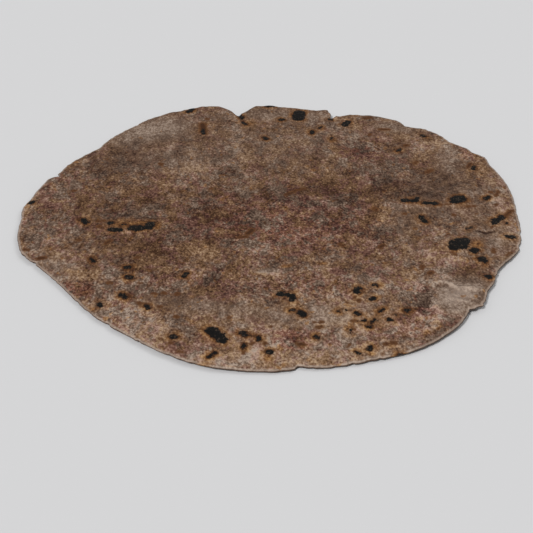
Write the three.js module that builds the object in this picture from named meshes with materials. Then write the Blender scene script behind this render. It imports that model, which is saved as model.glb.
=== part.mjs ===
// A chapati: one thin round of unleavened wholegrain dough, rolled by hand and baked on a griddle.
// Millimetres, +Z up. It lies on the plane z = 0, with its origin under the middle of its outline box.
// Angles are in degrees, counter-clockwise from +X.
import * as THREE from "three";

// Driving dimensions.
const MEAN_RADIUS = 110;
const MIDDLE_THICKNESS = 1.9;
const RIM_THICKNESS = 1.2;
const RIM_TAPER_START = 0.8;        // where the bread starts to thin, as a share of the radius
const RIM_ROUNDING = 0.6;           // how far the edge bulges past its top and bottom corners

// Mesh fineness: ring i of a side has 6 i points, so the triangles are about equal all over.
const RINGS = 24;
const POINTS_PER_RING_STEP = 6;

// The rolled outline: how far the edge is from the mean radius, once every 15 degrees from +X.
const EDGE_STEP = 15;
const EDGE_OFFSETS = [
    -0.3, 2.4, 2.2, 1.4, 0.3, -5.5, -2, 1.5, 3.8, -0.5, -4, 0,
    2.5, 3, -5, -5, -2.6, 2, 1.4, 1, 2.8, -0.5, -4.6, -1.2,
];

// Cracks and nicks in the edge cut inwards, and lips between them stand out (negative depth).
const NICKS = [
    { angle: 99.8, halfWidth: 4.8, depth: 10.5 },
    { angle: 71, halfWidth: 2.7, depth: 7 },
    { angle: 161.3, halfWidth: 2.5, depth: 2.5 },
    { angle: 51, halfWidth: 3.5, depth: 2.8 },
    { angle: 66, halfWidth: 4, depth: 1.5 },
    { angle: 36.5, halfWidth: 4, depth: 1.8 },
    { angle: 145, halfWidth: 5, depth: 1.5 },
    { angle: 275, halfWidth: 3, depth: 1.8 },
    { angle: 315, halfWidth: 3.5, depth: 1.8 },
    { angle: 319.5, halfWidth: 3, depth: -1.2 },
    { angle: 335, halfWidth: 8, depth: 1.8 },
    { angle: 196, halfWidth: 4, depth: -0.5 },
    { angle: 26, halfWidth: 3, depth: -1.8 },
    { angle: 74.5, halfWidth: 2.6, depth: -2 },
    { angle: 108.5, halfWidth: 5, depth: -1.8 },
    { angle: 179, halfWidth: 3.6, depth: -1.6 },
];

// Stretches of the rim that curl up off the table: the height at the edge, and the share of the
// radius where the curl starts. It rises as a power of the distance from there.
const CURL_POWER = 1.6;
const RIM_LIFTS = [
    { angle: 30, halfWidth: 34, height: 2.6, start: 0.66 },
    { angle: 72, halfWidth: 36, height: 2.4, start: 0.7 },
    { angle: 112, halfWidth: 31, height: 1.9, start: 0.72 },
    { angle: 160, halfWidth: 48, height: 2.7, start: 0.64 },
    { angle: 208, halfWidth: 28, height: 1.5, start: 0.74 },
    { angle: 248, halfWidth: 36, height: 1.8, start: 0.7 },
    { angle: 286, halfWidth: 22, height: 1.2, start: 0.78 },
    { angle: 322, halfWidth: 39, height: 2.8, start: 0.62 },
];

// Shallow swells where steam raised the dough: centre, radius and height, all off the table below.
const SWELLS = [
    { x: -60, y: -14, radius: 26, height: 1.3 },
    { x: 72, y: 12, radius: 28, height: 1.5 },
    { x: 78, y: -28, radius: 20, height: 1.1 },
    { x: 10, y: 62, radius: 34, height: 1.2 },
    { x: -46, y: 58, radius: 30, height: 1.4 },
    { x: 34, y: -58, radius: 26, height: 1.1 },
    { x: -22, y: -74, radius: 24, height: 1.2 },
    { x: -72, y: 22, radius: 22, height: 0.8 },
    { x: 46, y: 44, radius: 20, height: 0.9 },
];

// Slow waves in the dough's thickness, which the rolling pin leaves.
const ROLLING_WAVE = { height: 0.16, length: 47, direction: 28 };
const CROSS_WAVE = { height: 0.12, length: 31, direction: 115 };

const CRUST_COLOUR = new THREE.Color().setRGB(0.42, 0.33, 0.26, THREE.SRGBColorSpace);
const CRUST_ROUGHNESS = 0.9;

// A smooth hump: 1 at distance 0, falling to 0 at distance 1.
function hump(distance) {
    return Math.abs(distance) < 1 ? (1 - distance * distance) ** 2 : 0;
}

// The difference of two angles in degrees, between -180 and 180.
function turnBetween(a, b) {
    return ((a - b + 540) % 360) - 180;
}

// The rolled outline's offset at an angle, a Catmull-Rom curve through EDGE_OFFSETS.
function rolledOffset(degrees) {
    const count = EDGE_OFFSETS.length;
    const place = degrees / EDGE_STEP;
    const before = Math.floor(place);
    const t = place - before;
    const [a, b, c, d] = [-1, 0, 1, 2].map((k) => EDGE_OFFSETS[(before + k + count) % count]);
    return b + 0.5 * t * (c - a + t * (2 * a - 5 * b + 4 * c - d + t * (3 * (b - c) + d - a)));
}

function edgeRadius(degrees) {
    let radius = MEAN_RADIUS + rolledOffset(degrees);
    for (const nick of NICKS) {
        radius -= nick.depth * hump(turnBetween(degrees, nick.angle) / nick.halfWidth);
    }
    return radius;
}

// How high the underside is off the table at a point, given the point's share of the way to the edge.
function undersideHeight(x, y, degrees, share) {
    let height = 0;
    for (const lift of RIM_LIFTS) {
        const reach = Math.max(0, (share - lift.start) / (1 - lift.start));
        const spread = hump(turnBetween(degrees, lift.angle) / lift.halfWidth);
        height += lift.height * spread * reach ** CURL_POWER;
    }
    for (const swell of SWELLS) {
        height += swell.height * hump(Math.hypot(x - swell.x, y - swell.y) / swell.radius);
    }
    return height;
}

function wave({ height, length, direction }, x, y) {
    const along = THREE.MathUtils.degToRad(direction);
    const distance = x * Math.cos(along) + y * Math.sin(along);
    return height * Math.sin((2 * Math.PI * distance) / length);
}

function thickness(x, y, share) {
    const thinned = THREE.MathUtils.smoothstep(share, RIM_TAPER_START, 1);
    const even = THREE.MathUtils.lerp(MIDDLE_THICKNESS, RIM_THICKNESS, thinned);
    return even + (wave(ROLLING_WAVE, x, y) + wave(CROSS_WAVE, x, y)) * (1 - thinned);
}

// Adds one side's points, ring by ring from the middle, and returns the index of the first.
function addSide(points, isTop) {
    const first = points.length / 3;
    for (let ring = 0; ring <= RINGS; ring += 1) {
        const count = Math.max(1, POINTS_PER_RING_STEP * ring);
        const share = ring / RINGS;
        for (let k = 0; k < count; k += 1) {
            const degrees = (360 * k) / count;
            const turn = THREE.MathUtils.degToRad(degrees);
            const radius = share * (edgeRadius(degrees) - RIM_ROUNDING);
            const x = radius * Math.cos(turn);
            const y = radius * Math.sin(turn);
            const low = undersideHeight(x, y, degrees, share);
            points.push(x, y, isTop ? low + thickness(x, y, share) : low);
        }
    }
    return first;
}

// The bulging edge itself, halfway between the top and bottom corners of the rim.
function addEdge(points) {
    const first = points.length / 3;
    const count = POINTS_PER_RING_STEP * RINGS;
    for (let k = 0; k < count; k += 1) {
        const degrees = (360 * k) / count;
        const turn = THREE.MathUtils.degToRad(degrees);
        const radius = edgeRadius(degrees);
        const x = radius * Math.cos(turn);
        const y = radius * Math.sin(turn);
        points.push(x, y, undersideHeight(x, y, degrees, 1) + RIM_THICKNESS / 2);
    }
    return first;
}

// Index of point k of a ring, in a side whose points start at first.
function ringPoint(first, ring, k) {
    if (ring === 0) {
        return first;
    }
    const before = 1 + (POINTS_PER_RING_STEP * ring * (ring - 1)) / 2;
    return first + before + (k % (POINTS_PER_RING_STEP * ring));
}

function addTriangle(triangles, a, b, c, facesUp) {
    triangles.push(a, facesUp ? b : c, facesUp ? c : b);
}

// Joins each ring of a side to the next, one sixth of the round at a time.
function joinSide(triangles, first, facesUp) {
    for (let ring = 1; ring <= RINGS; ring += 1) {
        for (let sixth = 0; sixth < POINTS_PER_RING_STEP; sixth += 1) {
            for (let k = 0; k < ring; k += 1) {
                const outer = ringPoint(first, ring, sixth * ring + k);
                const outerNext = ringPoint(first, ring, sixth * ring + k + 1);
                const inner = ringPoint(first, ring - 1, sixth * (ring - 1) + k);
                addTriangle(triangles, inner, outer, outerNext, facesUp);
                if (k < ring - 1) {
                    const innerNext = ringPoint(first, ring - 1, sixth * (ring - 1) + k + 1);
                    addTriangle(triangles, inner, outerNext, innerNext, facesUp);
                }
            }
        }
    }
}

// Joins two loops of equally many points with a band that faces outwards.
function joinBand(triangles, upper, lower) {
    const count = POINTS_PER_RING_STEP * RINGS;
    for (let k = 0; k < count; k += 1) {
        const next = (k + 1) % count;
        triangles.push(upper + k, lower + k, lower + next);
        triangles.push(upper + k, lower + next, upper + next);
    }
}

function breadGeometry() {
    const points = [];
    const triangles = [];
    const top = addSide(points, true);
    const bottom = addSide(points, false);
    const edge = addEdge(points);
    joinSide(triangles, top, true);
    joinSide(triangles, bottom, false);
    joinBand(triangles, ringPoint(top, RINGS, 0), edge);
    joinBand(triangles, edge, ringPoint(bottom, RINGS, 0));
    const geometry = new THREE.BufferGeometry();
    geometry.setAttribute("position", new THREE.Float32BufferAttribute(points, 3));
    geometry.setIndex(triangles);
    geometry.computeVertexNormals();
    return geometry;
}

// Moves a geometry so that the middle of its box is over the origin, without lifting it.
function centreOverOrigin(geometry) {
    geometry.computeBoundingBox();
    const middle = geometry.boundingBox.getCenter(new THREE.Vector3());
    geometry.translate(-middle.x, -middle.y, 0);
}

const geometry = breadGeometry();
centreOverOrigin(geometry);

const crust = new THREE.MeshStandardMaterial({
    color: CRUST_COLOUR,
    roughness: CRUST_ROUGHNESS,
    metalness: 0,
});

const chapati = new THREE.Mesh(geometry, crust);
chapati.name = "chapati";

const part = new THREE.Group();
part.add(chapati);

export default part;
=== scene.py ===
import math

import bpy
import numpy as np
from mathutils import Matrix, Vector, noise
from mathutils.bvhtree import BVHTree


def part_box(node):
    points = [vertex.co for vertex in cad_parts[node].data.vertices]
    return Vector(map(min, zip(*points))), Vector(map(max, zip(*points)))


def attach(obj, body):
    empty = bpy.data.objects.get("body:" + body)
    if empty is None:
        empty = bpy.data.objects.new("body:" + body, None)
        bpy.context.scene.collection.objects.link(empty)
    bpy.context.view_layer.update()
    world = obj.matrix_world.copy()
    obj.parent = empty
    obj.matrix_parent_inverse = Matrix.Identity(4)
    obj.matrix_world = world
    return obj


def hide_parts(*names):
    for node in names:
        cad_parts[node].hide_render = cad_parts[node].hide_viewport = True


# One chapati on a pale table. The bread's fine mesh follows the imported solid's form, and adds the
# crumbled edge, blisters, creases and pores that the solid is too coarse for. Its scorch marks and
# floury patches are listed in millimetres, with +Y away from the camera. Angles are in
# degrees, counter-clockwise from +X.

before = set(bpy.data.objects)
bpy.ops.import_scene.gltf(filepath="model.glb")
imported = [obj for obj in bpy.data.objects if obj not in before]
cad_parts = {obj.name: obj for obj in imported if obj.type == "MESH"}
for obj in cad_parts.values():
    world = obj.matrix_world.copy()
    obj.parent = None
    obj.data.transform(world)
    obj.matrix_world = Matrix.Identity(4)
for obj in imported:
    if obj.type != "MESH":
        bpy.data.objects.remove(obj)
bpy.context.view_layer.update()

MM = 0.001
NODE = "chapati"
BODY = "root"

# ---------------------------------------------------------------- driving dimensions, in millimetres

TOP_RINGS = 158             # ring i of a side has 6 i points, so the triangles are about equal
UNDER_RINGS = TOP_RINGS // 2
EDGE_ROWS = 3               # rows of points around the bulging edge, between top and bottom
EDGE_BULGE = 0.4            # how far the edge bulges past its top and bottom corners
EDGE_THINNING = 0.6         # how much thinner the very edge is than the solid's
EDGE_THICKNESS_CHANGE = 0.15        # how much that varies along the edge
EDGE_THICKNESS_WAVELENGTH = 7.0
FORM_SMOOTHING = 4.5        # reach of the smoothing that takes the solid's flat facets out
FORM_INSET = 0.98           # heights are read this far in, so that the edge's points find the solid too
MEAN_RADIUS = 111.0
OUTLINE_STEPS = [2.0**power for power in range(4, -8, -1)]      # from 16 down to 1/128
RAY_START = 0.1             # in metres: how far above or below the table a ray at the solid sets out

# Cuts in the edge that are too sharp for the solid: angle, half width in degrees, depth.
EDGE_CUTS = [
    (71.3, 1.0, 4.5), (99.6, 1.4, 2.5), (161.8, 0.9, 1.6), (51.0, 1.2, 0.8), (319.8, 1.0, -1.0),
    (317.0, 0.9, 1.0), (275.2, 0.8, 0.8), (73.6, 0.7, -1.0), (201.5, 1.1, 0.9), (127.8, 0.8, 0.6),
    (45.8, 0.8, -0.7), (26.2, 0.8, -0.6), (286.0, 0.6, 0.6), (291.5, 0.5, 0.5), (241.5, 0.8, 0.6),
]
# Crumbled edge: wavelength and depth of each layer of roughness.
EDGE_CRUMBLE = [(9.0, 0.45), (3.6, 0.55), (1.8, 0.4)]
CRUMBLE_WAVELENGTH = 34.0   # length of the edge's smoother and more crumbled stretches
# The edge's detail and thinning fade inwards, as these powers of the share of the way to the edge.
EDGE_DETAIL_FADE = 24
EDGE_THINNING_FADE = 60

# Relief of the crust all over: wavelength and height of each layer.
CRUST_RELIEF = [(15.0, 0.24), (6.5, 0.18), (3.2, 0.12), (1.9, 0.07)]

# Creases stand up and cracks go down: start, bend, end, width and height.
CREASES = [
    ((64.5, -57), (68, -52), (72, -56.5), 1.1, 0.7),
    ((72, -56.5), (74, -58), (75, -60), 1.0, 0.8),
    ((65, -58), (66.5, -57), (68, -57.5), 1.0, -0.5),
    ((70.3, -56), (71.5, -58), (72.5, -59.5), 0.9, -0.8),
    ((72, -60.5), (74, -61), (75.5, -62.5), 1.5, -0.55),
    ((76, -65.2), (77.5, -66), (79, -67.5), 0.9, -0.8),
    ((74, -66.5), (76.5, -68), (79, -69), 1.0, 0.3),
    ((76.5, -58.5), (78, -58), (79.5, -59), 0.9, 0.6),
    ((80.5, -58.5), (82.5, -59), (85, -60.5), 1.0, 0.5),
    ((79.5, -60.5), (80.5, -61.5), (81, -63), 1.0, -0.4),
    ((77.5, -50), (79, -52), (80, -54), 1.6, -0.4),
    ((64, -71.5), (64.5, -73), (65.5, -74), 1.2, 0.4),
    ((72.5, -75), (73.8, -77), (74, -79), 0.9, 0.5),
    ((66, -76.5), (67.5, -77.5), (69, -79), 1.6, -0.35),
    ((62.5, -60), (63, -64), (62, -68), 1.6, -0.45),
    ((60, -66), (60.5, -70), (59, -75), 1.5, -0.4),
    ((56.5, -75.5), (58.5, -78), (57.5, -81.5), 0.6, 0.8),
    ((63, -66), (66, -72), (64, -80), 1.8, 0.35),
    ((55, -88), (64, -84), (72, -74), 1.8, 0.3),
    ((98, -36), (100, -34), (103, -31), 0.7, -0.5),
    ((90, -15.5), (93, -18.5), (97, -15.5), 0.8, -0.4),
    ((-25.5, -104.5), (-24, -102), (-21.5, -100.5), 0.8, -0.5),
    ((-37, -87), (-33, -87), (-30, -90), 0.9, -0.3),
    ((-19, 101), (-16, 93), (-13, 87), 0.9, -0.7),
    ((33, 99), (31, 95), (30, 92), 0.8, -0.6),
    ((-105, -32), (-98, -35), (-92, -34), 2.4, 0.3),
    ((-86, -46), (-76, -50), (-66, -49), 2.6, 0.25),
    ((-70, -64), (-63, -69), (-58, -76), 1.8, -0.3),
    ((-54, -75), (-51, -79), (-50, -84), 1.6, -0.3),
    ((-68, -14.5), (-60, -17), (-50, -15), 1.6, 0.35),
    ((58, 8), (72, 4), (86, 7), 1.8, 0.35),
    ((5, 17), (10, 20), (16, 22), 1.2, -0.25),
    ((50, -75), (54, -72), (58, -71), 1.2, 0.25),
]
CREASE_LIGHT_AND_SHADE = 2.0           # how much paler a crease is painted, as a painted highlight, and how much darker a crack, as painted shade, per millimetre

# ------------------------------------------------------------------------------ marks on the top face
# Each mark is a rounded bar: x, y, length, width, turn. Marks, patches and creases are laid out on a
# flat sheet at MARKS_HEIGHT, with its origin at MARKS_ORIGIN, and from there they are projected onto
# the bread along the camera's lines of sight.

MARKS_ORIGIN = (1.15, 0.2)
MARKS_HEIGHT = 2.6

BLACK_SCORCHES = [
    (-83.5, -7.2, 5.5, 2.5, -60), (-71.3, -9.0, 2.8, 2.0, 0), (-66.0, -10.0, 2.2, 1.6, 0),
    (-69.0, -14.4, 7.0, 3.0, -8), (-60.0, -13.0, 7.0, 4.4, 2), (-54.2, -11.0, 6.8, 4.4, 75),
    (-76.0, -38.2, 4.6, 1.9, -55), (-60.5, -44.0, 3.4, 2.6, -15), (-59.2, -51.2, 3.4, 2.2, -25),
    (-36.4, -49.4, 4.2, 1.5, 72), (-60.0, -64.3, 4.8, 2.4, -45), (-68.7, -70.6, 3.8, 2.2, -50),
    (-50.0, -71.8, 3.4, 1.7, -60), (-38.2, -90.8, 4.2, 2.2, -62),
    (-23.6, -87.8, 6.4, 5.2, -40), (-20.0, -92.0, 6.4, 4.2, -68), (-21.8, -90.0, 6.0, 4.4, -55),
    (-11.6, -89.4, 3.8, 2.8, -60), (-9.0, -90.6, 4.6, 1.2, -14), (-5.8, -92.0, 3.6, 2.0, -60),
    (-11.4, -97.2, 3.6, 1.2, 80), (-23.2, -102.3, 4.8, 1.4, 45), (-1.8, -100.6, 3.0, 2.6, 0),
    (2.6, -63.0, 3.2, 3.0, 0), (5.4, -63.8, 5.8, 2.2, -4), (7.6, -65.4, 6.0, 2.5, 82),
    (11.0, -76.2, 5.0, 3.2, -62), (7.4, -73.9, 3.0, 1.3, 18), (33.8, -60.8, 5.2, 2.6, 80),
    (39.4, -66.2, 3.4, 1.8, 38), (41.8, -56.8, 2.2, 2.0, 0), (25.7, -74.6, 1.5, 1.3, 0),
    (28.5, -74.0, 1.8, 1.5, 0), (32.9, -76.6, 3.0, 1.8, -40), (42.8, -74.3, 3.6, 1.5, 50),
    (53.0, -73.9, 3.0, 2.0, 5), (47.6, -77.2, 1.5, 1.3, 0), (45.4, -80.2, 2.4, 2.0, 0),
    (39.0, -81.0, 3.6, 1.9, 25), (34.5, -80.8, 2.8, 0.9, 5), (36.7, -84.7, 2.1, 1.9, 0),
    (29.4, -88.0, 4.0, 1.1, 85), (36.1, -98.0, 3.6, 2.0, 80), (31.2, -101.0, 3.4, 1.5, -45),
    (16.7, -91.5, 2.6, 1.4, -40), (47.0, -102.2, 2.2, 1.6, 0), (88.2, -38.2, 4.8, 3.8, -60),
    (88.4, -50.6, 3.6, 2.6, -20), (62.4, 10.8, 8.6, 2.8, -4), (66.0, 12.3, 2.4, 1.6, 70),
    (71.6, 8.2, 7.2, 2.8, -5), (84.9, 11.8, 7.8, 6.0, 20), (83.0, 9.4, 5.2, 2.4, 0),
    (66.7, -5.6, 6.4, 3.0, -72),
    (98.6, -7.6, 5.2, 3.6, 55), (101.4, -4.6, 5.6, 3.4, 58), (103.4, -9.0, 1.3, 0.9, 80),
    (86.5, -13.0, 3.0, 1.5, 32), (103.0, -20.4, 4.8, 2.3, -12),
    (77.6, -26.8, 8.0, 4.8, 75), (82.4, -24.6, 6.8, 4.0, 75), (80.2, -28.0, 7.0, 4.4, 10),
    (80.6, -23.0, 5.0, 3.0, 15),
    (85.6, -31.0, 4.6, 4.2, 0), (98.2, 13.0, 4.0, 2.0, 50),
    (-42.6, 103.2, 5.6, 2.8, 62), (-34.8, 79.0, 6.0, 1.6, -84), (-16.6, 97.6, 9.5, 1.5, -74),
    (-14.0, 88.0, 4.6, 2.2, -50), (-0.8, 108.4, 4.6, 3.6, 0), (14.0, 97.2, 12.0, 5.8, 84),
    (18.6, 106.4, 3.0, 2.2, 0), (5.0, 92.2, 3.6, 2.4, -20), (20.6, 78.6, 4.4, 1.9, 84),
    (24.6, 83.4, 3.4, 1.5, 76), (30.0, 92.6, 2.8, 2.4, 0), (38.1, 87.8, 7.2, 3.8, 66),
    (44.6, 99.0, 2.6, 1.8, 0), (29.8, 71.0, 4.6, 1.5, 88), (76.1, 74.4, 4.0, 2.4, -70),
    (62.5, 59.6, 4.0, 1.3, 62), (96.2, 41.0, 4.0, 1.7, 70), (-109.6, 9.0, 3.8, 2.0, 70),
    (-3.4, 71.6, 3.6, 2.0, -50),
]
BROWN_SCORCHES = [
    (-77.0, -7.5, 1.8, 1.5, 0), (-75.0, -7.0, 1.8, 1.4, 0), (-76.3, -11.6, 2.2, 1.7, 60),
    (-83.6, -22.8, 2.4, 1.3, 20), (-71.0, -24.5, 4.6, 2.2, 45), (-57.3, -36.7, 2.2, 1.4, 0),
    (-105.3, -30.4, 2.8, 1.3, -10), (-66.7, -55.3, 2.6, 1.5, -10), (-53.8, -55.2, 1.9, 1.3, 30),
    (-53.2, -69.3, 2.4, 1.3, -35), (-44.0, -62.3, 2.0, 1.6, 0), (-38.5, -63.0, 2.0, 1.4, -20),
    (-48.0, -62.6, 1.6, 1.2, 0), (-37.9, -78.4, 2.0, 1.5, -40), (-43.3, -92.6, 1.8, 1.4, 0),
    (-39.0, -95.2, 1.7, 1.3, 0), (-8.0, -95.4, 2.0, 1.3, 40), (-3.3, -95.2, 1.6, 1.2, 0),
    (-35.0, -100.4, 3.0, 1.0, -14), (-1.0, -84.7, 1.7, 1.3, 60), (-17.5, -79.0, 1.6, 1.1, 70),
    (-45.0, -71.5, 1.7, 1.1, 0), (-13.0, -20.4, 4.6, 1.8, 15), (-10.0, -16.0, 6.0, 2.8, 60),
    (34.0, -67.5, 1.9, 1.3, 70),
    (29.5, -69.0, 1.4, 1.0, 0), (31.0, -81.0, 2.2, 1.1, 0), (30.9, -86.6, 1.8, 1.0, 80),
    (18.4, -82.0, 1.7, 1.2, 40), (16.0, -82.0, 1.4, 1.0, 0), (17.6, -85.0, 3.0, 1.5, 20),
    (10.2, -95.8, 3.6, 2.2, -10), (28.3, -96.8, 2.4, 1.0, 60), (42.5, -95.6, 2.0, 1.6, 0),
    (45.2, -94.8, 2.6, 1.4, 10), (65.0, -48.0, 3.0, 2.0, 45), (62.2, -44.0, 3.6, 1.1, 85),
    (93.7, -31.0, 3.2, 1.2, 80), (76.6, -33.4, 3.4, 1.0, -60), (99.6, -33.8, 4.6, 0.9, 45),
    (81.2, -2.0, 1.8, 1.5, 0),
    (91.0, 5.6, 1.9, 1.5, 0), (88.4, 5.4, 1.6, 1.3, 0), (101.4, 6.8, 2.2, 1.3, 50),
    (103.8, 17.2, 5.2, 1.3, 65), (101.0, 18.2, 2.0, 1.5, 0), (77.8, 7.2, 7.0, 0.9, 4),
    (105.6, -0.6, 8.0, 2.0, 52), (96.4, -12.4, 2.6, 1.0, 65), (32.8, -65.0, 2.4, 1.1, 75),
    (-33.2, 93.2, 2.4, 1.8, 0), (-34.9, 82.0, 13.5, 3.6, -83), (49.6, 94.2, 5.4, 1.8, 18),
    (57.2, 81.4, 6.0, 1.6, -2), (49.5, 75.6, 2.6, 1.2, 75), (66.5, 64.2, 3.2, 2.2, 30),
    (75.0, 38.2, 5.4, 1.9, 45), (94.6, 43.6, 6.0, 1.8, 62), (69.2, 46.2, 3.2, 1.5, 60),
    (-3.4, 71.6, 4.6, 3.4, -50), (8.0, 17.0, 6.0, 1.8, 35), (12.4, 20.4, 6.0, 1.6, 22),
    (-54.0, 45.2, 3.0, 1.9, -30),
    (-28.6, 21.4, 2.0, 1.5, 0), (-92.0, 19.6, 2.2, 1.6, 0), (46.6, -27.8, 4.4, 2.3, 52),
    (29.4, -26.8, 3.8, 1.6, -35), (46.4, 3.0, 3.4, 1.4, -70), (-63.5, -11.0, 6.0, 1.4, -45),
    (-97.6, -37.0, 4.6, 2.6, 10),
    (-11.4, -101.0, 2.6, 1.0, 85), (59.0, -1.0, 1.6, 1.2, 0),
]
# Orange and tan tints around and beside the scorches: x, y, length, width, turn, strength.
TOASTED_TINTS = [
    (-64.0, -10.0, 26.0, 9.0, 0, 0.75), (-84.0, -7.0, 6.0, 6.0, 0, 0.45),
    (-58.6, -67.0, 5.0, 3.2, 30, 0.7), (-70.6, -73.4, 6.0, 4.6, 40, 0.8),
    (-39.6, -92.0, 5.0, 3.6, 60, 0.6), (-24.0, -91.5, 13.0, 8.0, -55, 0.45),
    (-11.6, -93.2, 4.0, 3.0, 0, 0.65), (-2.2, -104.2, 6.0, 4.6, 80, 0.75),
    (-11.6, -100.0, 3.6, 2.4, 80, 0.5), (-25.5, -107.6, 6.0, 3.4, 0, 0.6),
    (-32.0, -81.6, 4.4, 2.4, -40, 0.7), (-33.0, -64.8, 3.6, 2.8, 0, 0.4),
    (3.6, -108.0, 2.6, 2.0, 70, 0.7), (12.6, -105.6, 2.2, 1.8, 0, 0.6), (13.2, -78.0, 4.0, 3.0, 0, 0.5),
    (33.2, -66.5, 5.0, 3.0, 80, 0.4), (36.4, -101.6, 3.6, 3.0, 0, 0.65), (52.8, -76.6, 3.2, 2.6, 0, 0.7),
    (41.0, -84.0, 7.0, 5.0, -40, 0.5), (18.0, -84.6, 5.0, 4.4, 0, 0.5), (11.0, -97.0, 4.4, 3.0, 0, 0.6),
    (44.6, -97.0, 5.0, 3.4, 20, 0.5), (58.6, -88.4, 4.0, 3.0, 45, 0.7), (89.0, -42.6, 7.0, 5.0, 60, 0.5),
    (88.6, -52.6, 4.0, 3.0, 60, 0.5), (88.0, -26.6, 9.0, 7.0, 70, 0.75), (80.0, -26.0, 15.0, 12.0, 0, 0.3),
    (105.0, -2.0, 9.0, 5.0, 55, 0.6), (85.0, 9.0, 12.0, 11.0, 0, 0.45), (68.0, 9.0, 22.0, 6.0, -6, 0.35),
    (68.6, -5.4, 5.0, 4.0, -70, 0.45), (101.0, 15.0, 9.0, 6.0, 55, 0.4), (104.0, -22.0, 6.0, 4.0, 0, 0.35),
    (-12.4, 88.4, 9.0, 8.0, 40, 0.6), (-34.9, 81.0, 15.0, 5.2, -83, 0.65), (-3.4, 71.4, 8.0, 6.0, 0, 0.35),
    (-42.0, 102.0, 8.0, 5.0, 60, 0.4), (14.0, 96.0, 15.0, 10.0, 84, 0.35), (24.6, 36.2, 5.0, 3.0, 0, 0.45),
    (46.4, 3.4, 4.0, 3.0, 0, 0.5), (74.0, 37.6, 7.0, 4.0, 45, 0.5), (69.0, 46.2, 5.0, 4.0, 60, 0.35),
    (57.2, 81.0, 8.0, 4.0, 0, 0.4), (-14.6, -19.0, 9.0, 4.4, 50, 0.4), (-88.4, -28.0, 4.0, 3.0, 70, 0.35),
    (62.4, -21.0, 3.6, 3.0, 0, 0.4), (5.4, -43.0, 5.6, 2.8, 10, 0.9), (20.6, -41.0, 4.6, 2.4, 0, 0.8),
    (45.6, 3.6, 5.0, 4.4, 0, 0.7), (-56.0, -12.0, 11.0, 9.0, 0, 0.8), (-50.6, -11.0, 4.0, 7.0, 0, 0.8),
    (-67.0, -41.4, 4.6, 2.0, -30, 0.5), (-61.0, -19.0, 5.0, 3.0, 80, 0.25),
    (-84.6, -46.6, 5.0, 4.0, 0, 0.3), (-75.4, -62.0, 5.0, 3.0, 0, 0.5), (38.0, -101.0, 8.0, 5.0, 0, 0.2),
]

# Stretches of paler (+) and darker (-) crust, partly its own colour and partly painted light and shade of
# its gentle waves: x, y, half length, half width, turn, strength.
TONE_PATCHES = [
    # dark: the middle, its smudge, and the bands behind, beside and before it
    (0, -2, 74, 26, 0, -0.6), (-30, -3, 13, 8, 0, -0.7), (18, 18, 34, 12, 0, -0.7),
    (-42, -22, 32, 12, 0, -0.6), (38, -21, 14, 12, 0, -0.6), (-18, -58, 16, 8, 0, -0.6),
    # dark: back left, back, the red patch there, and behind the row of scorches on the right
    (-72, 48, 24, 15, 20, -0.8), (35, 48, 50, 16, 0, -0.4), (42, 61, 18, 8, 0, -0.7),
    (60, 26, 32, 18, 0, -0.8),
    # dark: the left side, its edge, and the left of the front
    (-68, 10, 26, 26, 0, -0.4), (-99, 1, 6, 10, 0, -0.5), (-58, -34, 24, 12, 0, -0.6),
    (-79, -59, 8, 6, 30, -1.0),
    # dark: behind the wrinkles and along their left side
    (82, -46, 8, 10, 0, -0.8), (60, -69, 11, 4, 78, -0.8),
    # pale: the rims at the back
    (-58, 81, 20, 10, 32, 0.7), (22, 100, 12, 7, 0, 0.8), (81, 60, 9, 9, -45, 0.6),
    # pale: the right rim, the crust around its scorches, and the floury wrinkles
    (103, 12, 6, 30, 0, 0.5), (100, -24, 8, 14, -15, 0.7), (64, -32, 12, 18, 0, 0.5),
    (76, -63, 14, 15, 30, 1.0), (66, -80, 10, 4, 42, 0.5),
    # pale: the front rim and the crust behind it
    (6, -104, 50, 12, 0, 1.1), (30, -80, 26, 12, 0, 0.8), (-20, -84, 30, 10, 0, 0.4),
    (44, -58, 14, 9, 0, 0.5),
    # pale: the left of the front rim, and a stretch left of the middle
    (-57, -79, 20, 11, -38, 1.2), (-88, -47, 12, 7, -40, 0.5), (-45, 21, 15, 9, 0, 0.6),
]
# Stretches of redder (+) and greyer, floury (-) crust.
WARMTH_PATCHES = [
    # red: the middle, the back's patch and edge, and before the middle
    (5, -12, 48, 24, 0, 0.9), (43, 60, 14, 9, 0, 1.2), (95, 57, 9, 5, -62, 0.8),
    (15, -59, 18, 10, 0, 0.6), (-30, -55, 40, 12, 0, 0.4),
    # red: the left of the front, left of the wrinkles, and an oval near the front rim
    (-79, -59, 8, 6, 30, 0.9), (-60, -75, 22, 8, -38, 0.4), (61, -67, 7, 12, -10, 1.2),
    (52, -85, 13, 7, 35, 0.6), (8, -92, 7, 5, 0, 1.6),
    # grey: the back and its rims
    (0, 68, 90, 32, 0, -0.3), (-60, 48, 34, 14, 0, -0.3), (-59, 80, 22, 13, 38, -1.0),
    (0, 100, 34, 9, 0, -0.6), (62, 83, 14, 7, -30, -0.7),
    # grey: the right side, the wrinkles, the front rims and the pale fleck before the middle
    (80, 15, 28, 22, 0, -0.5), (85, 48, 8, 16, -10, -0.5), (60, -12, 9, 20, 0, -0.5),
    (95, -22, 12, 20, 0, -0.5), (75, -64, 15, 12, 40, -1.9), (-90, -45, 10, 8, -40, -0.4),
    (-30, -70, 30, 7, -8, -0.6), (16, -78, 34, 7, 5, -0.6), (-2, -48, 5, 2, 0, -1.6),
]
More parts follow.
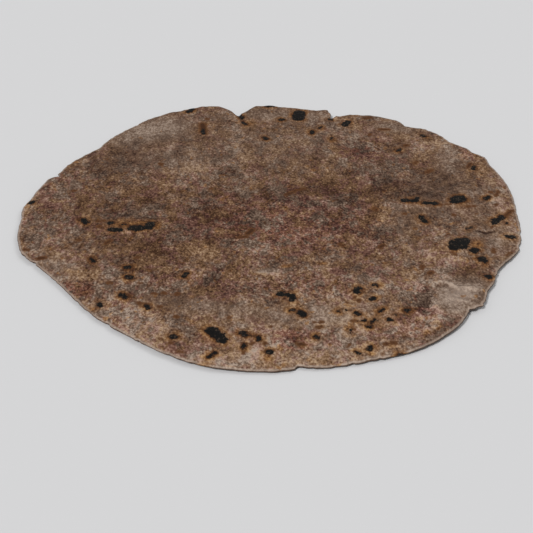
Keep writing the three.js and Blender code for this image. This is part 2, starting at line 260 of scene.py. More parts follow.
# Small pale (+) and dark (-) streaks, a few of them painted light and shade: x, y, length, width, turn,
# strength.
TONE_STREAKS = [
    (-2.0, -48.2, 10.0, 2.6, -2, 1.6), (8.4, -92.5, 12.0, 8.0, 0, -0.8),
    # the pale streak at (-15, -22.4) is a painted highlight beside the brown scorch there
    (-62.0, -19.0, 5.0, 1.6, -80, 0.6), (-15.0, -22.4, 5.0, 1.0, 15, 1.4),
    (-29.0, -3.5, 14.0, 7.0, 0, -0.9), (-9.0, -73.5, 3.0, 2.6, 0, 0.7),
    (-24.0, -99.8, 4.0, 0.8, 48, 0.9), (-42.0, -41.0, 9.0, 1.4, 8, -0.5), (70.0, -50.8, 7.0, 1.4, -20, 0.5),
    (-92.0, -40.0, 7.0, 3.0, -25, 0.6), (-99.0, -44.0, 5.0, 2.4, -50, 0.5),
    (-80.0, -52.0, 8.0, 2.2, 12, 0.5),
    (-74.0, -68.0, 6.0, 2.0, 40, 0.6), (84.0, 2.0, 10.0, 3.0, 10, 0.5), (97.0, -25.0, 8.0, 3.0, 70, 0.5),
    (-34.0, -76.0, 9.0, 2.0, -20, 0.4), (14.0, -101.0, 10.0, 3.0, 5, 0.4), (49.0, -96.0, 9.0, 2.0, 30, 0.5),
    # the two dark streaks along the crack at (93, -17) are painted shade in it
    (91.5, -16.9, 3.8, 0.8, -35, -2.6), (95.0, -16.7, 4.2, 0.8, 20, -2.6), (94.0, -15.2, 6.0, 0.8, 5, 1.2),
]
PATCH_WAVINESS = [(26.0, 5.0), (9.0, 2.5)]      # wavelength and size of the sway of the patches' edges
PATCH_SOFTNESS = 1.5        # a patch fades to nothing at this many times its half length and width
STREAK_SOFTNESS = 0.6       # a streak fades to nothing this far outside its edge

# Scorches on the underside are spread at random.
UNDERSIDE_SCORCHES = 90
UNDERSIDE_REACH = 104       # how far from the middle they lie
UNDERSIDE_LENGTHS = (1.6, 8.0)
UNDERSIDE_WIDTHS = (0.4, 0.85)      # as a share of the length
UNDERSIDE_SMALLNESS = 2.5   # the higher this power, the fewer are large
UNDERSIDE_BROWNING = 1.0    # how far the brown reaches out around their char
RANDOM_SEED = 11

MARK_REACH = 6.0            # marks are measured this far outwards, and no further
BLISTER_HEIGHT = 0.6        # how far the crust stands up under a large scorch
BLISTER_FULL_WIDTH = 4      # a scorch this wide or wider has the full height
BLISTER_SPREAD = 1.6        # a blister ends at this many times the scorch's half width,
BLISTER_SKIRT = 1.2         # and this much further out

# --------------------------------------------------------------------------------- colours, as sRGB


def srgb(red, green, blue):
    """A linear colour, with alpha, from sRGB levels between 0 and 255."""
    levels = [level / 255 for level in (red, green, blue)]
    linear = [v / 12.92 if v <= 0.04045 else ((v + 0.055) / 1.055) ** 2.4 for v in levels]
    return (*linear, 1.0)


# Tones of each kind of crust, from its darkest speck to its palest.
DOUGH_TONES = [
    (0.10, srgb(53, 32, 22)),
    (0.30, srgb(81, 57, 42)),
    (0.50, srgb(107, 81, 63)),
    (0.70, srgb(136, 110, 90)),
    (0.90, srgb(165, 140, 119)),
]
RED_TONES = [(0.10, srgb(58, 29, 21)), (0.50, srgb(115, 76, 61)), (0.90, srgb(172, 137, 119))]
TAN_TONES = [(0.10, srgb(55, 33, 17)), (0.50, srgb(112, 83, 58)), (0.90, srgb(170, 142, 114))]
GREY_TONES = [(0.10, srgb(50, 34, 26)), (0.50, srgb(103, 83, 69)), (0.90, srgb(163, 144, 129))]
PURPLE_TONES = [(0.10, srgb(56, 30, 25)), (0.50, srgb(109, 76, 65)), (0.90, srgb(166, 138, 124))]
TOAST_TONES = [(0.10, srgb(60, 33, 17)), (0.50, srgb(123, 85, 50)), (0.90, srgb(170, 132, 88))]
# the flour colour is also painted on the edge's top corner, partly as a painted highlight, and the dark
# brown crust colour down the edge's side as painted shade
FLOUR_AND_RIM_HIGHLIGHT = srgb(176, 158, 144)
BROWN_CRUST_AND_SIDE_SHADE = srgb(54, 31, 17)
SINGED_CRUST = srgb(86, 54, 30)
CHAR = srgb(12, 10, 8)
CHAR_ASH = srgb(66, 54, 44)
# Noise that the tone is made of: size in millimetres, detail, roughness, strength.
TONE_NOISE = [(24.0, 2.0, 0.9, 0.4), (5.0, 2.0, 0.9, 1.12), (0.9, 1.0, 0.9, 1.25), (9.0, 0.0, 0.5, 0.2)]
MIDDLE_TONE = 0.475
TONE_SHIFT = 0.18           # how far a patch, streak or crease of strength 1 shifts the tone
GRAIN_STRETCH = 1.3         # how much longer than wide the noise's features are, along Y
# How ragged the scorches' edges are, in millimetres: coarsely and finely.
BLACK_RAGGEDNESS = (0.35, 0.3)
BROWN_RAGGEDNESS = (0.16, 0.18)
RAGGEDNESS_GAIN = 8         # as the noise strays about an eighth from its middle
# Each ring of a scorch fades in between two depths inside its edge, in millimetres: outside, if negative.
BLACK_HALO = (-3.4, -0.4)
BLACK_SINGED = (-1.6, -0.2)
BLACK_RIM = (-0.9, -0.1)
BLACK_CHAR = (-0.2, 0.15)
BROWN_SINGED = (-1.2, -0.1)
BROWN_BODY = (-0.6, 0.2)
BROWN_CORE = (0.2, 0.9)
CRUST_SPECULAR = 0.12
PORE_DEPTH = 0.25           # of the bump's pores, in millimetres
GRAIN_HEIGHT = 0.7          # of the bump's grain, in millimetres
TABLE = srgb(202, 202, 203)

# ------------------------------------------------------------------------------------ camera, light

CAMERA_HEIGHT_ANGLE = 34.0
CAMERA_DISTANCE = 0.47
CAMERA_LENS = 76.0
CAMERA_AIM = Vector((-0.0016, -0.0422, 0.002))

TABLE_SIZE = 200.0          # so large that its edge meets the backdrop at the horizon
SKY_LIGHT = srgb(238, 238, 238)
SKY_STRENGTH = 0.44
BACKDROP = srgb(212, 212, 213)      # what the camera sees beyond the table: the lit table's own grey
# Soft far-off lights: name, direction that each comes from, breadth in degrees and strength.
SOFT_LIGHTS = [
    ("key_light", (-0.7, -1.2, 1.5), 11.0, 2.6),
    ("fill_light", (0.9, 0.3, 1.1), 35.0, 0.6),
]


# ============================================================================== the bread's shape


def ring_start(ring):
    """Index of a ring's first point, in a side that is laid out ring by ring from its middle."""
    return 0 if ring == 0 else 1 + 3 * ring * (ring - 1)


def side_layout(rings):
    """Each point's share of the way to the edge, and its turn about the middle in radians."""
    shares = [np.zeros(1)]
    turns = [np.zeros(1)]
    for ring in range(1, rings + 1):
        count = 6 * ring
        shares.append(np.full(count, ring / rings))
        turns.append(2 * math.pi * np.arange(count) / count)
    return np.concatenate(shares), np.concatenate(turns)


def side_triangles(rings):
    """Triangles that join each ring of a side to the next, counter-clockwise from above."""
    triangles = []
    for ring in range(1, rings + 1):
        step = np.arange(ring)
        for sixth in range(6):
            outer = ring_start(ring) + sixth * ring + step
            outer_next = ring_start(ring) + (sixth * ring + step + 1) % (6 * ring)
            inner_count = max(1, 6 * (ring - 1))
            inner = ring_start(ring - 1) + (sixth * (ring - 1) + step) % inner_count
            triangles.append(np.stack([inner, outer, outer_next], 1))
            inner_next = ring_start(ring - 1) + (sixth * (ring - 1) + step + 1) % inner_count
            triangles.append(np.stack([inner, outer_next, inner_next], 1)[:-1])
    return np.concatenate(triangles)


def solid_heights(plan, from_above):
    """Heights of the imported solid's top or underside at each place in plan, or None beside it."""
    tree = BVHTree.FromObject(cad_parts[NODE], bpy.context.evaluated_depsgraph_get())
    side = 1 if from_above else -1
    towards = Vector((0, 0, -side))
    hits = [tree.ray_cast(Vector((x, y, RAY_START * side)), towards)[0] for x, y in plan * MM]
    return [hit and hit.z / MM for hit in hits]


def solid_edge(turns):
    """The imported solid's outline: its radius at each turn, found by ever smaller steps outwards."""
    directions = np.stack([np.cos(turns), np.sin(turns)], 1)
    radii = np.full(len(turns), 0.8 * MEAN_RADIUS)
    for step in OUTLINE_STEPS:
        trial = radii + step
        heights = solid_heights(directions * trial[:, None], True)
        radii = np.where([height is not None for height in heights], trial, radii)
    return radii


def hump(distance):
    """A smooth hump: 1 at distance 0, falling to 0 at distance 1."""
    return np.where(np.abs(distance) < 1, (1 - np.minimum(distance**2, 1)) ** 2, 0)


def turn_between(a, b):
    """The difference of two angles in degrees, between -180 and 180."""
    return (a - b + 180) % 360 - 180


def noise_layer(points, wavelength, seed):
    """Smooth noise between about -1 and 1 at each point."""
    shift = Vector((17.3 * seed, 5.1 * seed, 9.7 * seed))
    return np.array([noise.noise(Vector(p) / wavelength + shift) for p in points])


def on_plane(plan):
    """Places in plan as points at height 0."""
    return np.column_stack([plan, np.zeros(len(plan))])


def edge_detail(turns, radii):
    """Crumbs, bites and lips along the edge, as a change of its radius."""
    around = np.stack([radii * np.cos(turns), radii * np.sin(turns), 0 * turns], 1)
    # from 0.28 where the edge is smooth to at most 1.45 where it is most crumbled
    ragged = 0.55 + 0.9 * np.clip(noise_layer(around, CRUMBLE_WAVELENGTH, seed=3) + 0.1, -0.3, 1)
    detail = np.zeros(len(turns))
    for layer, (wavelength, depth) in enumerate(EDGE_CRUMBLE):
        detail += depth * ragged * noise_layer(around, wavelength, seed=20 + layer)
    for angle, half_width, depth in EDGE_CUTS:
        detail -= depth * hump(turn_between(np.degrees(turns), angle) / half_width)
    return detail


def plan_positions(shares, turns):
    """Where each point of a side is in plan. The edge's detail fades out quickly inwards."""
    rim_turns = turns[shares == 1]
    rim = solid_edge(rim_turns)
    detail = edge_detail(rim_turns, rim)
    radii = np.interp(turns, rim_turns, rim, period=2 * math.pi)
    detail_here = np.interp(turns, rim_turns, detail, period=2 * math.pi)
    reach = shares * (radii - EDGE_BULGE) + shares**EDGE_DETAIL_FADE * detail_here
    return np.stack([reach * np.cos(turns), reach * np.sin(turns)], 1)


def smoothed(values, triangles, rings):
    """Values at a side's points, with changes shorter than the smoothing's reach taken out."""
    first = triangles.ravel()
    second = np.roll(triangles, -1, axis=1).ravel()
    count = np.bincount(first, minlength=len(values)) + np.bincount(second, minlength=len(values))
    for _ in range(round((FORM_SMOOTHING * rings / MEAN_RADIUS) ** 2)):
        total = np.bincount(first, values[second], len(values))
        total += np.bincount(second, values[first], len(values))
        values = 0.5 * values + 0.5 * total / count
    return values


def bar_depth(plan, mark):
    """How deep each point is inside a rounded bar's edge; negative outside."""
    x, y, length, width, turn = mark[:5]
    length, width = max(length, width), min(length, width)
    along = np.array([math.cos(math.radians(turn)), math.sin(math.radians(turn))])
    offset = plan - np.array([x, y])
    half = (length - width) / 2
    place = np.clip(offset @ along, -half, half)
    return width / 2 - np.linalg.norm(offset - place[:, None] * along, axis=1)


def marks_depth(plan, marks):
    """The deepest that each point is in any of the marks."""
    depth = np.full(len(plan), -MARK_REACH)
    for mark in marks:
        depth = np.maximum(depth, bar_depth(plan, mark))
    return depth


def patches(plan, listed):
    """The sum of soft elliptical patches."""
    total = np.zeros(len(plan))
    for x, y, half_length, half_width, turn, strength in listed:
        c, s = math.cos(math.radians(turn)), math.sin(math.radians(turn))
        offset = plan - np.array([x, y])
        u = (offset[:, 0] * c + offset[:, 1] * s) / (PATCH_SOFTNESS * half_length)
        v = (offset[:, 1] * c - offset[:, 0] * s) / (PATCH_SOFTNESS * half_width)
        total += strength * hump(np.hypot(u, v))
    return total


def streaks(plan):
    """The sum of the small pale and dark streaks."""
    total = np.zeros(len(plan))
    for mark in TONE_STREAKS:
        half_width = mark[3] / 2
        strength = mark[5]
        from_middle = half_width - bar_depth(plan, mark)
        total += strength * hump(from_middle / (half_width + STREAK_SOFTNESS))
    return total


def crease_relief(plan):
    """Ridges and cracks along short curves."""
    relief = np.zeros(len(plan))
    steps = np.linspace(0, 1, 14)[:, None]
    for start, bend, end, width, height in CREASES:
        start, bend, end = np.array(start), np.array(bend), np.array(end)
        curve = (1 - steps) ** 2 * start + 2 * steps * (1 - steps) * bend + steps**2 * end
        distance = np.min(np.linalg.norm(plan[:, None] - curve[None], axis=2), axis=1)
        relief += height * np.exp(-((distance / width) ** 2))
    return relief


def blister_relief(plan):
    """Blisters under the larger scorches, taller where the scorch is wider."""
    relief = np.zeros(len(plan))
    for mark in BLACK_SCORCHES:
        width = min(mark[2], mark[3])
        from_middle = np.maximum(width / 2 - bar_depth(plan, mark), 0)
        height = BLISTER_HEIGHT * min(width / BLISTER_FULL_WIDTH, 1)
        reach = BLISTER_SPREAD * width / 2 + BLISTER_SKIRT
        relief = np.maximum(relief, height * hump(from_middle / reach))
    return relief


def crust_relief(plan, seed):
    """The crust's fine unevenness."""
    relief = np.zeros(len(plan))
    for layer, (wavelength, height) in enumerate(CRUST_RELIEF):
        relief += height * noise_layer(on_plane(plan), wavelength, seed + layer)
    return relief


def edge_rows(top_rim, under_rim):
    """Rows of points that round off the edge, between the rims of the top and of the underside."""
    between = (under_rim + np.roll(under_rim, -1, axis=0)) / 2
    below = np.stack([under_rim, between], 1).reshape(-1, 3)
    outward = top_rim[:, :2] / np.linalg.norm(top_rim[:, :2], axis=1)[:, None]
    middle = (top_rim[:, 2] + below[:, 2]) / 2
    half = (top_rim[:, 2] - below[:, 2]) / 2
    rows = []
    for row in range(EDGE_ROWS):
        tilt = math.radians(90 - 180 * (row + 1) / (EDGE_ROWS + 1))
        position = top_rim[:, :2] + EDGE_BULGE * math.cos(tilt) * outward
        rows.append(np.column_stack([position, middle + half * math.sin(tilt)]))
    return np.concatenate(rows)


def edge_triangles(top_rim, first_row, under_rim):
    """Triangles of the edge. The underside's rim has half as many points as the rows above it."""
    count = 6 * TOP_RINGS
    step = np.arange(count)
    after = (step + 1) % count
    loops = [top_rim] + [first_row + row * count for row in range(EDGE_ROWS)]
    triangles = []
    for upper, lower in zip(loops, loops[1:]):
        triangles.append(np.stack([upper + step, lower + step, lower + after], 1))
        triangles.append(np.stack([upper + step, lower + after, upper + after], 1))
    last = loops[-1]
    half_step = np.arange(count // 2)
    below = under_rim + half_step
    below_next = under_rim + (half_step + 1) % (count // 2)
    odd = last + 2 * half_step + 1
    triangles.append(np.stack([last + 2 * half_step, below, odd], 1))
    triangles.append(np.stack([odd, below, below_next], 1))
    triangles.append(np.stack([odd, below_next, last + (2 * half_step + 2) % count], 1))
    return np.concatenate(triangles)


def underside_marks():
    """Random scorches for the underside, more of them small than large."""
    random = np.random.default_rng(RANDOM_SEED)
    marks = []
    for _ in range(UNDERSIDE_SCORCHES):
        reach = UNDERSIDE_REACH * math.sqrt(random.random())
        turn = 2 * math.pi * random.random()
        low, high = UNDERSIDE_LENGTHS
        length = low + (high - low) * random.random() ** UNDERSIDE_SMALLNESS
        width = length * random.uniform(*UNDERSIDE_WIDTHS)
        x = reach * math.cos(turn)
        y = reach * math.sin(turn)
        marks.append((x, y, length, width, random.uniform(0, 180)))
    return marks


def new_mesh(name, points, triangles):
    """A smooth-shaded mesh from points in millimetres and rows of three indices."""
    mesh = bpy.data.meshes.new(name)
    mesh.vertices.add(len(points))
    mesh.vertices.foreach_set("co", (points * MM).astype(np.float32).ravel())
    mesh.loops.add(3 * len(triangles))
    mesh.loops.foreach_set("vertex_index", triangles.astype(np.int32).ravel())
    mesh.polygons.add(len(triangles))
    mesh.polygons.foreach_set("loop_start", 3 * np.arange(len(triangles), dtype=np.int32))
    mesh.polygons.foreach_set("use_smooth", np.ones(len(triangles), bool))
    mesh.update()
    mesh.validate()
    return mesh


def add_object(name, data):
    """A new object in the scene, with this mesh, camera or light."""
    added = bpy.data.objects.new(name, data)
    bpy.context.scene.collection.objects.link(added)
    return added


def add_attribute(mesh, name, values):
    """Stores one number per point, which the material reads by this name."""
    attribute = mesh.attributes.new(name, "FLOAT", "POINT")
    attribute.data.foreach_set("value", values.astype(np.float32))


def add_bake_map(mesh, plan, under):
    """A map for baking: the top face in a large round, the underside in a smaller one beside it."""
    top_radius = 0.365
    under_radius = 0.215
    margin = 0.004
    corners = np.empty(len(mesh.loops), np.int32)
    mesh.loops.foreach_get("vertex_index", corners)
    unit = (plan / np.abs(plan).max())[corners]
    top_places = top_radius + margin + unit * top_radius
    under_places = 1 - under_radius - margin + unit * (-under_radius, under_radius)
    beneath = np.repeat(under[corners].reshape(-1, 3).all(1), 3)
    places = np.where(beneath[:, None], under_places, top_places)
    layer = mesh.uv_layers.new(name="OFBake")
    layer.data.foreach_set("uv", places.astype(np.float32).ravel())


def marks_sheet(points):
    """Where the camera's line of sight through each point meets the flat sheet of the marks."""
    camera = np.array(camera_place()) / MM
    reach = (points[:, 2] - MARKS_HEIGHT) / (camera[2] - points[:, 2])
    return points[:, :2] + (points[:, :2] - camera[:2]) * reach[:, None] - MARKS_ORIGIN


def make_side(rings, seed, from_above):
    """One side's points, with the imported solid's form and the crust's relief, and its triangles."""
    shares, turns = side_layout(rings)
    triangles = side_triangles(rings)
    plan = plan_positions(shares, turns)
    solid = np.array(solid_heights(FORM_INSET * plan, from_above), float)
    height = smoothed(solid, triangles, rings)
    relief = crust_relief(plan, seed)
    if from_above:
        sheet = marks_sheet(np.column_stack([plan, height]))
        change = noise_layer(on_plane(plan), EDGE_THICKNESS_WAVELENGTH, seed=31)
        height += relief + crease_relief(sheet) + blister_relief(sheet)
        height += shares**EDGE_THINNING_FADE * (EDGE_THICKNESS_CHANGE * change - EDGE_THINNING)
    else:
        height += np.maximum(relief, 0)
    return np.column_stack([plan, height]), triangles, (1 - shares) * MEAN_RADIUS


def swayed(plan):
    """Positions moved a little to and fro, so that patches looked up with them get wavy edges."""
    flat = on_plane(plan)
    moved = plan.copy()
    for wavelength, size in PATCH_WAVINESS:
        moved[:, 0] += size * noise_layer(flat, wavelength, seed=70)
        moved[:, 1] += size * noise_layer(flat, wavelength, seed=71)
    return moved


def halved(marks):
    """Marks given by their full length and width, as patches given by half of each."""
    return [(x, y, length / 2, width / 2, turn, strength) for x, y, length, width, turn, strength in marks]


def make_bread():
    """The bread as one closed mesh, with the strength of each kind of mark at its points."""
    top, top_triangles, top_inwards = make_side(TOP_RINGS, seed=40, from_above=True)
    below, below_triangles, below_inwards = make_side(UNDER_RINGS, seed=60, from_above=False)
    edge = edge_rows(top[ring_start(TOP_RINGS):], below[ring_start(UNDER_RINGS):])
    first_below = len(top)
    first_edge = len(top) + len(below)
    points = np.concatenate([top, below, edge])
    faces = np.concatenate([
        top_triangles,
        below_triangles[:, ::-1] + first_below,
        edge_triangles(ring_start(TOP_RINGS), first_edge, first_below + ring_start(UNDER_RINGS)),
    ])
    mesh = new_mesh("chapati_crust", points, faces)

    plan = points[:, :2]
    sheet = marks_sheet(points)
    under = np.zeros(len(points), bool)
    under[first_below:first_edge] = True
    edge_inwards = -np.repeat(np.arange(1, EDGE_ROWS + 1) / (EDGE_ROWS + 1), len(edge) // EDGE_ROWS)
    inwards = np.concatenate([top_inwards, below_inwards, edge_inwards])
    scorches_below = marks_depth(plan, underside_marks())
    char = np.where(under, scorches_below, marks_depth(sheet, BLACK_SCORCHES))
    brown = np.where(under, scorches_below + UNDERSIDE_BROWNING, marks_depth(sheet, BROWN_SCORCHES))
    add_attribute(mesh, "char_depth", char)
    add_attribute(mesh, "brown_depth", brown)
    add_attribute(mesh, "toast", np.where(under, 0, patches(sheet, halved(TOASTED_TINTS))))
    wavy = swayed(sheet)
    # painted light and shade join the crust's own tone here: the patches partly, and the creases' ridges
    # painted paler and their cracks darker
    tone_shift = patches(wavy, TONE_PATCHES) + streaks(sheet) + CREASE_LIGHT_AND_SHADE * crease_relief(sheet)
    add_attribute(mesh, "tone_shift", np.where(under, 0, tone_shift))
    add_attribute(mesh, "warmth", np.where(under, 0, patches(wavy, WARMTH_PATCHES)))
    add_attribute(mesh, "inwards", inwards)
    add_bake_map(mesh, plan, under)
    return add_object("chapati_crust", mesh)


# ==================================================================================== materials


class Graph:
    """Short ways to add shader nodes to one material."""

    def __init__(self, name):
        self.material = bpy.data.materials.new(name)
        self.material.use_nodes = True
        self.tree = self.material.node_tree
        self.shader = self.tree.nodes["Principled BSDF"]
        squeeze = self.tree.nodes.new("ShaderNodeVectorMath")
        squeeze.operation = "MULTIPLY"
        place = self.tree.nodes.new("ShaderNodeTexCoord").outputs["Object"]
        self.tree.links.new(place, squeeze.inputs[0])
        squeeze.inputs[1].default_value = (1, 1 / GRAIN_STRETCH, 1)
        self.place = squeeze.outputs["Vector"]

    def join(self, source, socket):
        """Links a socket, or sets a plain value."""
        if isinstance(source, bpy.types.NodeSocket):
            self.tree.links.new(source, socket)
        else:
            socket.default_value = source

    def noise(self, size, detail, roughness, seed):
        """Noise between 0 and 1 with features of about the given size, in millimetres."""
        node = self.tree.nodes.new("ShaderNodeTexNoise")
        node.noise_dimensions = "4D"
        self.join(self.place, node.inputs["Vector"])
        node.inputs["W"].default_value = seed
        node.inputs["Scale"].default_value = 1 / (size * MM)
        node.inputs["Detail"].default_value = detail
        node.inputs["Roughness"].default_value = roughness
        return node.outputs["Fac"]

    def attribute(self, name):
        """The number stored at the mesh's points under this name."""
        node = self.tree.nodes.new("ShaderNodeAttribute")
        node.attribute_name = name
        return node.outputs["Fac"]

    def math(self, operation, a, b=0.0, c=0.0, limit=False):
        """A sum, product or the like of up to three values, limited to between 0 and 1 if asked."""
        node = self.tree.nodes.new("ShaderNodeMath")
        node.operation = operation
        node.use_clamp = limit
        for value, socket in zip((a, b, c), node.inputs):
            self.join(value, socket)
        return node.outputs["Value"]

    def step(self, value, low, high):
        """Goes smoothly from 0 at low to 1 at high. It falls if low is the larger of the two."""
        node = self.tree.nodes.new("ShaderNodeMapRange")
        node.interpolation_type = "SMOOTHSTEP"
        self.join(value, node.inputs["Value"])
        node.inputs["From Min"].default_value = low
        node.inputs["From Max"].default_value = high
        return node.outputs["Result"]

    def ramp(self, value, stops):
        """The colour at a value, between stops that each have a place and a colour."""
        node = self.tree.nodes.new("ShaderNodeValToRGB")
        elements = node.color_ramp.elements
        while len(elements) < len(stops):
            elements.new(0.5)
        for element, (place, colour) in zip(elements, stops):
            element.position = place
            element.color = colour
        self.join(value, node.inputs["Fac"])
        return node.outputs["Color"]

    def mix(self, amount, a, b):
        """Colour a where the amount is 0, and colour b where it is 1."""
        node = self.tree.nodes.new("ShaderNodeMix")
        node.data_type = "RGBA"
        self.join(amount, node.inputs["Factor"])
        self.join(a, node.inputs[6])
        self.join(b, node.inputs[7])
        return node.outputs[2]

    def bump(self, height):
        """Relief from a height in metres."""
        node = self.tree.nodes.new("ShaderNodeBump")
        node.inputs["Strength"].default_value = 1.0
        node.inputs["Distance"].default_value = 1.0
        self.join(height, node.inputs["Height"])
        return node.outputs["Normal"]


def crust_tone(g):
    """How pale the crust is, mottled from broad bands down to bran specks, and less so under flour."""
    mottling = 0.0
    for seed, (size, detail, roughness, strength) in enumerate(TONE_NOISE):
        layer = g.math("SUBTRACT", g.noise(size, detail, roughness, seed=float(seed)), 0.5)
        mottling = g.math("MULTIPLY_ADD", layer, strength, mottling)
    # the mottling's strength: from 1.15 where the crust is reddish to 0.75 where it is floury
    bare = g.math("MULTIPLY_ADD", g.step(g.attribute("warmth"), 0.5, -0.8), -0.4, 1.15)
    tone = g.math("MULTIPLY_ADD", mottling, bare, MIDDLE_TONE)
    # the shift holds painted light and shade as well as the crust's own paler and darker stretches
    return g.math("MULTIPLY_ADD", g.attribute("tone_shift"), TONE_SHIFT, tone)


def dough_colour(g, tone):
    """Wholegrain dough with tan and grey grains, redder in places, pale at the very edge from flour and
    partly a painted highlight, and with painted shade down the edge's side.
    """
    grains = g.noise(12.0, 3.0, 0.95, seed=10.0)
    warmth = g.attribute("warmth")
    colour = g.mix(g.step(warmth, 0.0, 1.0), g.ramp(tone, DOUGH_TONES), g.ramp(tone, RED_TONES))
    colour = g.mix(g.math("MULTIPLY", g.step(grains, 0.50, 0.56), 0.9), colour, g.ramp(tone, TAN_TONES))
    # purple grains, fewer where it is floury
    purple = g.step(g.noise(9.0, 3.0, 0.95, seed=11.0), 0.50, 0.57)
    purple = g.math("MULTIPLY", purple, g.step(warmth, -0.8, 0.1))
    colour = g.mix(g.math("MULTIPLY", purple, 0.85), colour, g.ramp(tone, PURPLE_TONES))
    # grey grains, and grey all over where it is floury or at the edge
    grey = g.math("MAXIMUM", g.step(grains, 0.49, 0.43), g.step(warmth, 0.1, -0.9))
    edge = g.step(g.attribute("inwards"), 1.0, 0.0)
    side = g.step(g.attribute("inwards"), 0.0, -0.4)
    colour = g.mix(g.math("MAXIMUM", grey, edge), colour, g.ramp(tone, GREY_TONES))
    # flour on the flouriest crust; flour and partly a painted highlight on the edge's top corner; and
    # painted shade, in dark brown, down the edge's side
    rim_highlight_and_flour = g.math("MAXIMUM", g.math("MULTIPLY", edge, 0.45), g.step(warmth, -0.9, -3.2))
    colour = g.mix(rim_highlight_and_flour, colour, FLOUR_AND_RIM_HIGHLIGHT)
    return g.mix(g.math("MULTIPLY", side, 0.8), colour, BROWN_CRUST_AND_SIDE_SHADE)


def ragged(g, depth, coarse, fine):
    """A mark's depth with its edge made ragged, by about these distances in millimetres."""
    wide = g.math("SUBTRACT", g.noise(3.4, 2.0, 0.6, seed=20.0), 0.5)
    narrow = g.math("SUBTRACT", g.noise(1.1, 1.0, 0.6, seed=21.0), 0.5)
    depth = g.math("MULTIPLY_ADD", wide, RAGGEDNESS_GAIN * coarse, depth)
    return g.math("MULTIPLY_ADD", narrow, RAGGEDNESS_GAIN * fine, depth)


def scorched(g, colour, tone):
    """Toasted tints, brown scorches and black char, each with a ragged edge. Also returns the char."""
    # the toast is weaker in places, and stronger on one side of a scorch than on the other
    patchy = g.math("MULTIPLY_ADD", g.step(g.noise(4.0, 3.0, 0.7, seed=22.0), 0.34, 0.54), 0.55, 0.45)
    one_sided = g.step(g.noise(5.0, 1.0, 0.6, seed=25.0), 0.42, 0.58)
    black = ragged(g, g.attribute("char_depth"), *BLACK_RAGGEDNESS)
    brown = ragged(g, g.attribute("brown_depth"), *BROWN_RAGGEDNESS)
    # toast: the listed tints, a halo around each black scorch, and specks all over
    halo = g.math("MULTIPLY", g.step(black, *BLACK_HALO), g.math("MULTIPLY_ADD", one_sided, 0.6, 0.45))
    toast = g.math("MAXIMUM", g.math("MULTIPLY", g.attribute("toast"), 1.4), halo)
    specks = g.math("MULTIPLY", g.step(g.noise(2.8, 1.0, 0.5, seed=23.0), 0.66, 0.72), 0.7)
    toast = g.math("MAXIMUM", g.math("MULTIPLY", toast, patchy), specks, limit=True)
    colour = g.mix(toast, colour, g.ramp(g.math("ADD", tone, -0.04), TOAST_TONES))
    # a singed ring around every scorch, then the brown scorches themselves
    singed = g.math("MAXIMUM", g.step(black, *BLACK_SINGED), g.step(brown, *BROWN_SINGED))
    singed = g.math("MULTIPLY", singed, g.math("MULTIPLY_ADD", one_sided, 0.65, 0.1))
    colour = g.mix(singed, colour, SINGED_CRUST)
    colour = g.mix(g.math("MULTIPLY", g.step(brown, *BROWN_BODY), 0.88), colour, SINGED_CRUST)
    colour = g.mix(g.math("MULTIPLY", g.step(brown, *BROWN_CORE), 0.8), colour, BROWN_CRUST_AND_SIDE_SHADE)
    # the black scorches: a brown rim, then char with ashy specks
    rim = g.math("MULTIPLY", g.step(black, *BLACK_RIM), g.math("MULTIPLY_ADD", one_sided, 0.5, 0.35))
    colour = g.mix(rim, colour, BROWN_CRUST_AND_SIDE_SHADE)
    char = g.step(black, *BLACK_CHAR)
    ash = g.step(g.noise(0.9, 1.0, 0.7, seed=24.0), 0.54, 0.70)
    return g.mix(char, colour, g.mix(g.math("MULTIPLY", ash, 0.7), CHAR, CHAR_ASH)), char


def crust_material():
    """Baked wholegrain dough: nearly matt, slightly glossier where it is charred."""
    g = Graph("baked_crust")
    tone = crust_tone(g)
    colour, char = scorched(g, dough_colour(g, tone), tone)
    g.join(colour, g.shader.inputs["Base Color"])
    roughness = g.math("MULTIPLY_ADD", tone, 0.2, 0.78)
    g.join(g.math("MULTIPLY_ADD", char, -0.25, roughness), g.shader.inputs["Roughness"])
    g.shader.inputs["Specular IOR Level"].default_value = CRUST_SPECULAR
    grain = g.noise(1.2, 2.0, 0.8, seed=30.0)
    pores = g.step(g.noise(2.6, 2.0, 0.6, seed=31.0), 0.30, 0.46)
    height = g.math("MULTIPLY_ADD", pores, PORE_DEPTH * MM, g.math("MULTIPLY", grain, GRAIN_HEIGHT * MM))
    g.join(g.bump(height), g.shader.inputs["Normal"])
    return g.material


def table_material():
    """Plain and matt, with no highlight."""
    g = Graph("pale_table")
    g.shader.inputs["Base Color"].default_value = TABLE
    g.shader.inputs["Roughness"].default_value = 1.0
    g.shader.inputs["Specular IOR Level"].default_value = 0.0
    return g.material


# ================================================================================ camera, light, table


def camera_place():
    """Where the camera stands, in metres. Its distance is a choice, not measured."""
    angle = math.radians(CAMERA_HEIGHT_ANGLE)
    return CAMERA_AIM + CAMERA_DISTANCE * Vector((0, -math.cos(angle), math.sin(angle)))


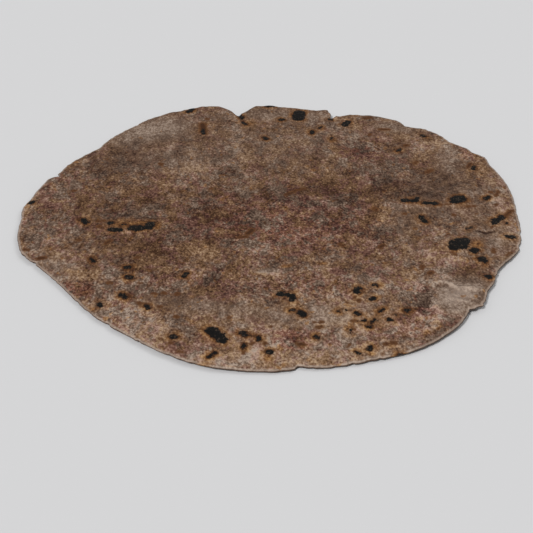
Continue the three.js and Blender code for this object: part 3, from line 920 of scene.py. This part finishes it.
def make_camera():
    """The scene's camera, at about the photo's viewing angle."""
    data = bpy.data.cameras.new("camera")
    data.lens = CAMERA_LENS
    data.sensor_width = 36.0
    data.clip_start = 0.01
    data.clip_end = 50.0
    camera = add_object("camera", data)
    camera.location = camera_place()
    camera.rotation_euler = (camera_place() - CAMERA_AIM).to_track_quat("Z", "Y").to_euler()
    bpy.context.scene.camera = camera


def make_soft_light(name, direction, breadth, strength):
    """A far-off lamp whose breadth softens its shadows."""
    data = bpy.data.lights.new(name, "SUN")
    data.angle = math.radians(breadth)
    data.energy = strength
    light = add_object(name, data)
    light.rotation_euler = Vector(direction).to_track_quat("Z", "Y").to_euler()


def make_sky():
    """A dim even sky for light, which the camera sees as the backdrop's colour instead."""
    world = bpy.data.worlds.new("sky")
    world.use_nodes = True
    nodes = world.node_tree.nodes
    light = nodes["Background"]
    light.inputs["Color"].default_value = SKY_LIGHT
    light.inputs["Strength"].default_value = SKY_STRENGTH
    backdrop = nodes.new("ShaderNodeBackground")
    backdrop.inputs["Color"].default_value = BACKDROP
    seen = nodes.new("ShaderNodeMixShader")
    links = world.node_tree.links
    links.new(nodes.new("ShaderNodeLightPath").outputs["Is Camera Ray"], seen.inputs["Fac"])
    links.new(light.outputs["Background"], seen.inputs[1])
    links.new(backdrop.outputs["Background"], seen.inputs[2])
    links.new(seen.outputs["Shader"], nodes["World Output"].inputs["Surface"])
    bpy.context.scene.world = world


def make_light():
    """The sky and the soft lights, shown without a film look."""
    make_sky()
    for soft_light in SOFT_LIGHTS:
        make_soft_light(*soft_light)
    bpy.context.scene.view_settings.view_transform = "Standard"


def make_table():
    """A flat table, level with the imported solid's lowest point."""
    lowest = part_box(NODE)[0].z
    half = TABLE_SIZE / 2
    mesh = bpy.data.meshes.new("table")
    corners = [(-half, -half, lowest), (half, -half, lowest), (half, half, lowest), (-half, half, lowest)]
    mesh.from_pydata(corners, [], [(0, 1, 2, 3)])
    mesh.materials.append(table_material())
    table = add_object("table", mesh)


make_camera()
make_light()
make_table()
bread = make_bread()
bread.data.materials.append(crust_material())
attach(bread, BODY)
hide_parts(NODE)
